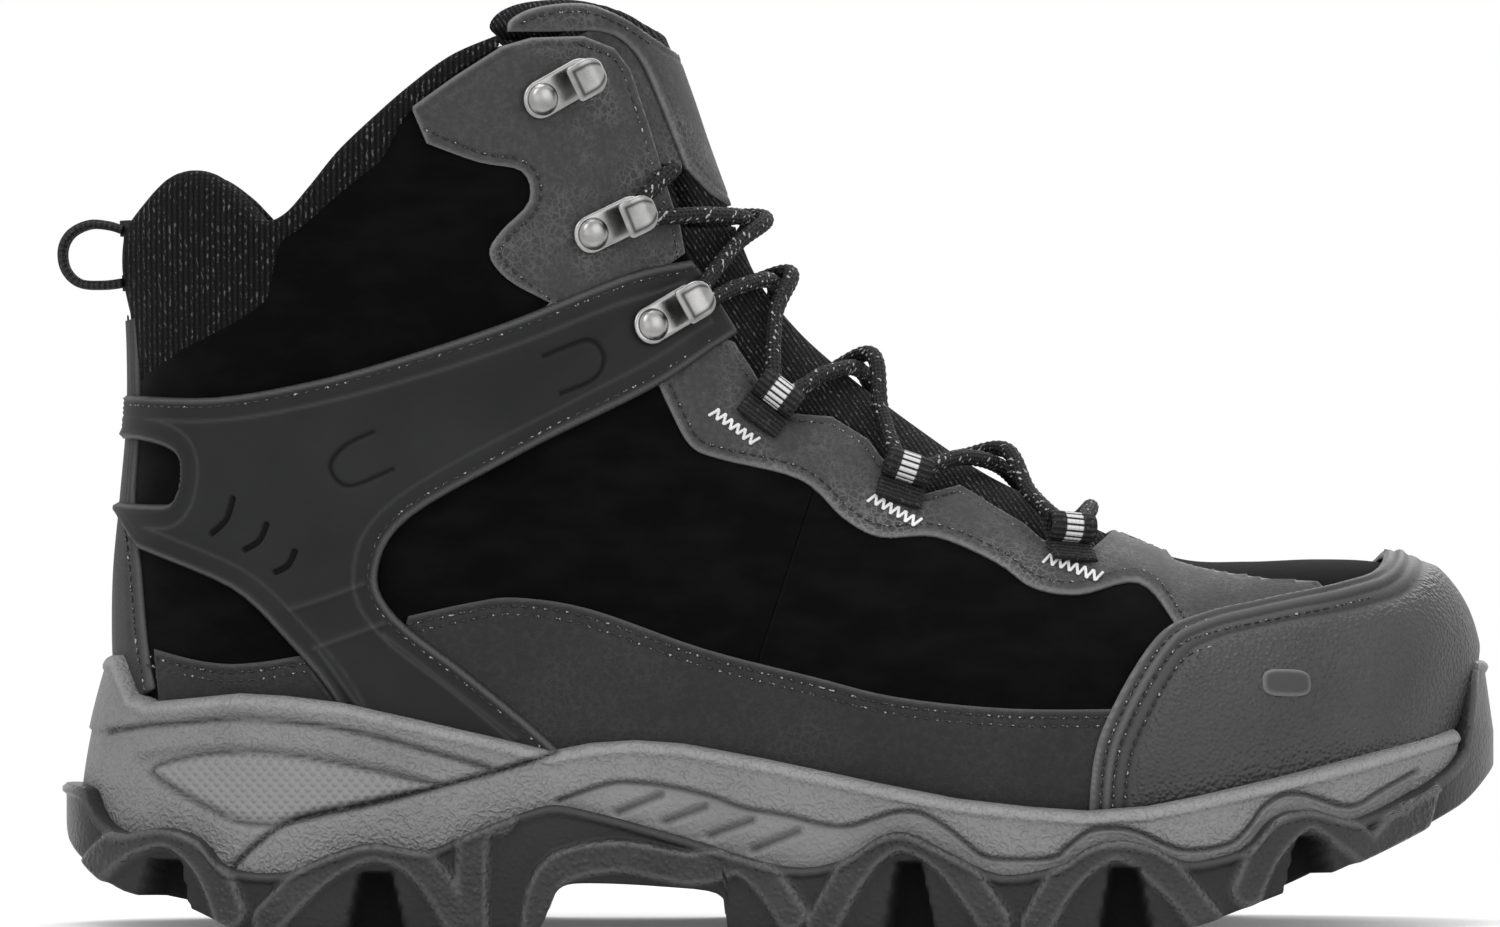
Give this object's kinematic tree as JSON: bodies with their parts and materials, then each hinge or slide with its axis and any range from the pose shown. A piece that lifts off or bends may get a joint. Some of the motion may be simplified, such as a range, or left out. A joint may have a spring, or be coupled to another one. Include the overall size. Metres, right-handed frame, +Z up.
{
  "type": "hiking boot",
  "caption": "Mid-height lace-up hiking boot for the right foot, with a lugged sole, moulded ankle bands, open hooks, webbing loops and a fold-out tongue.",
  "frame": {"origin": "centre of the boot's bounding box in plan, on the floor under the sole", "axes": "+X from heel to toe, +Y to the inner (medial) side of the right foot, +Z up"},
  "size_m": [0.316, 0.1163, 0.202],
  "materials": {
    "outsole_rubber": "semi-gloss pebbled rubber",
    "midsole_foam": "matt moulded foam",
    "cradle_plastic": "satin moulded plastic",
    "shank_steel": "bright spring steel",
    "board_fibre": "pressed fibre board",
    "footbed_foam": "knit-covered foam",
    "lining_knit": "brushed mesh",
    "collar_knit": "ribbed knit with light flecks",
    "suede": "black nubuck",
    "gusset_mesh": "spacer mesh",
    "tongue_mesh": "padded mesh",
    "leather": "dark grey crackled leather",
    "leather_smooth": "smooth dark grey leather",
    "band_leather": "moulded matt dark grey",
    "stiffener": "thermoplastic sheet",
    "toe_rubber": "fine-grained coated leather",
    "badge_rubber": "moulded rubber",
    "webbing": "ribbed tape with a white stripe",
    "hook_metal": "satin nickel",
    "rivet_metal": "polished nickel",
    "lace_braid": "braided cord with flecks",
    "aglet_plastic": "glossy",
    "pull_webbing": "woven tape"
  },
  "bodies": {
    "boot": {"outsole": "outsole_rubber", "midsole": "midsole_foam", "heel_cradle": "cradle_plastic", "shank": "shank_steel", "lasting_board": "board_fibre", "lining": "lining_knit", "collar": "collar_knit", "quarter_lateral": "suede", "quarter_medial": "suede", "vamp": "suede", "gusset": "gusset_mesh", "tongue_base": "tongue_mesh", "heel_counter": "stiffener", "toe_puff": "stiffener", "backstay": "leather_smooth", "heel_patch_lateral": "leather", "heel_patch_medial": "leather", "mudguard_lateral": "leather", "mudguard_medial": "leather", "ankle_band_lateral": "band_leather", "ankle_band_medial": "band_leather", "eyestay_lateral": "leather", "eyestay_medial": "leather", "vamp_overlay_lateral": "leather", "vamp_overlay_medial": "leather", "toe_cap": "toe_rubber", "toe_badge": "badge_rubber", "lace_loops_lateral": "webbing", "lace_loops_medial": "webbing", "hooks_lateral": "hook_metal", "hooks_medial": "hook_metal", "hook_rivets_lateral": "rivet_metal", "hook_rivets_medial": "rivet_metal", "lace": "lace_braid", "aglets": "aglet_plastic", "pull_loop_tabs": "pull_webbing"},
    "tongue": {"tongue_top": "tongue_mesh", "tongue_panel": "leather"},
    "pull_loop": {"pull_loop": "pull_webbing"},
    "footbed": {"footbed": "footbed_foam"}
  },
  "joints": [
    {"name": "tongue_fold", "type": "hinge", "parent": "boot", "child": "tongue", "pos_m": [-0.0145, 0, 0.163], "axis": [0, 1, 0], "range_deg": [0, 28], "stiffness_Nm_per_rad": 0.03},
    {"name": "pull_loop_flex", "type": "hinge", "parent": "boot", "child": "pull_loop", "pos_m": [-0.144, 0, 0.147], "axis": [0, 1, 0], "range_deg": [-20, 20], "stiffness_Nm_per_rad": 0.01},
    {"name": "footbed_lift", "type": "hinge", "parent": "boot", "child": "footbed", "pos_m": [0.137, 0, 0.0385], "axis": [0, 1, 0], "range_deg": [0, 12]}
  ]
}
